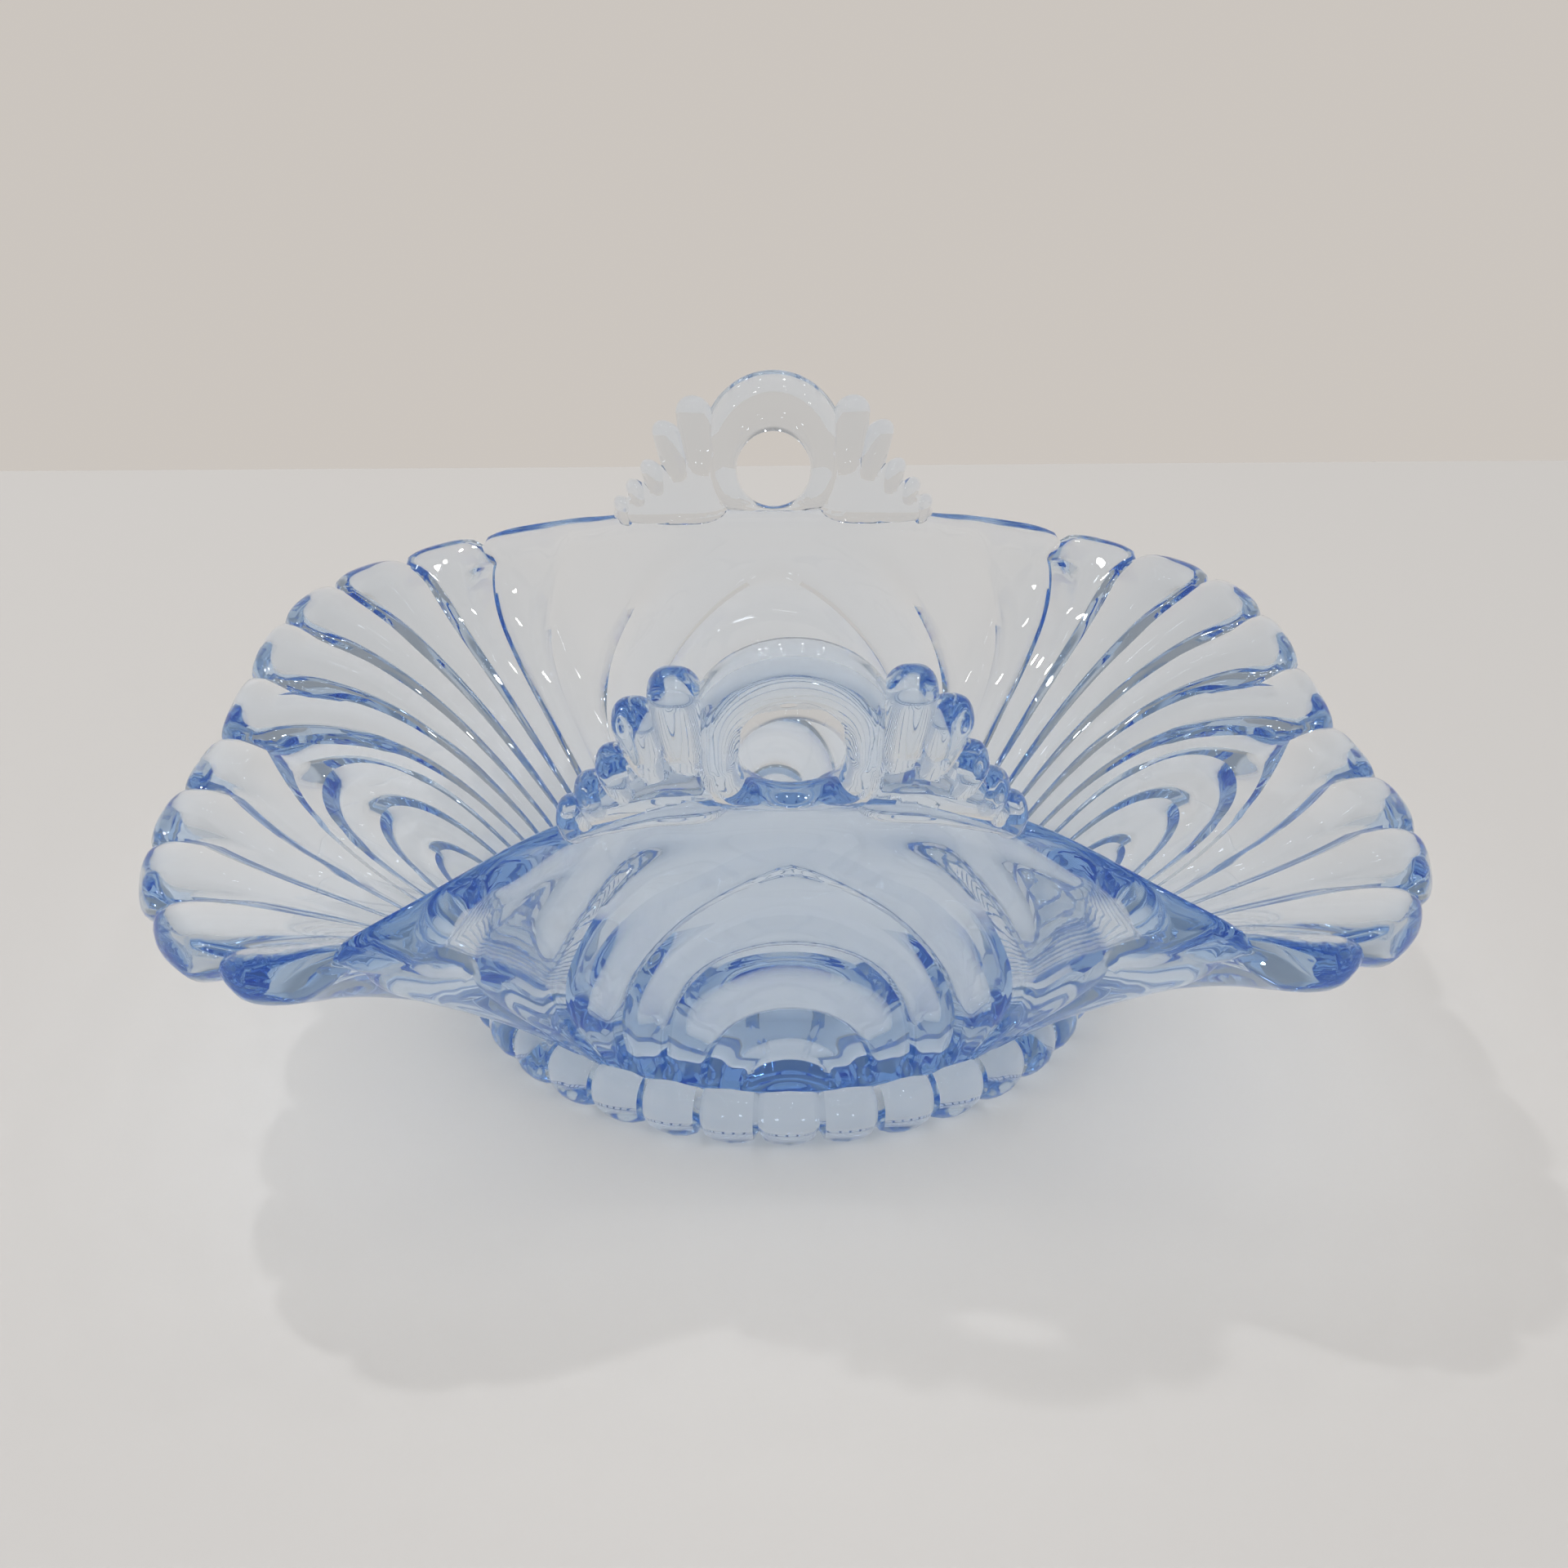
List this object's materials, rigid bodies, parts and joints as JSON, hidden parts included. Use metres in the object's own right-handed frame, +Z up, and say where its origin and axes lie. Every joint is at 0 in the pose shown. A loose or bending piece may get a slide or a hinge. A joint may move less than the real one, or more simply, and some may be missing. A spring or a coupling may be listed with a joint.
{
  "type": "candy dish",
  "caption": "Low square candy dish of pale blue pressed glass: shell-fluted flaring bowl on a beaded foot ring, with upright pierced handles.",
  "frame": {"origin": "on the table under the middle of the dish, at the bottom of the foot ring", "axes": "+X across the dish to the middle of a wing, +Y to the middle of the rear handle, +Z up"},
  "size_m": [0.151, 0.132, 0.0718],
  "materials": {
    "pale_blue_glass": "clear pale blue pressed glass, fire polished"
  },
  "bodies": {
    "root": {"bowl": "pale_blue_glass", "foot_ring": "pale_blue_glass", "front_handle": "pale_blue_glass", "rear_handle": "pale_blue_glass"}
  },
  "joints": []
}
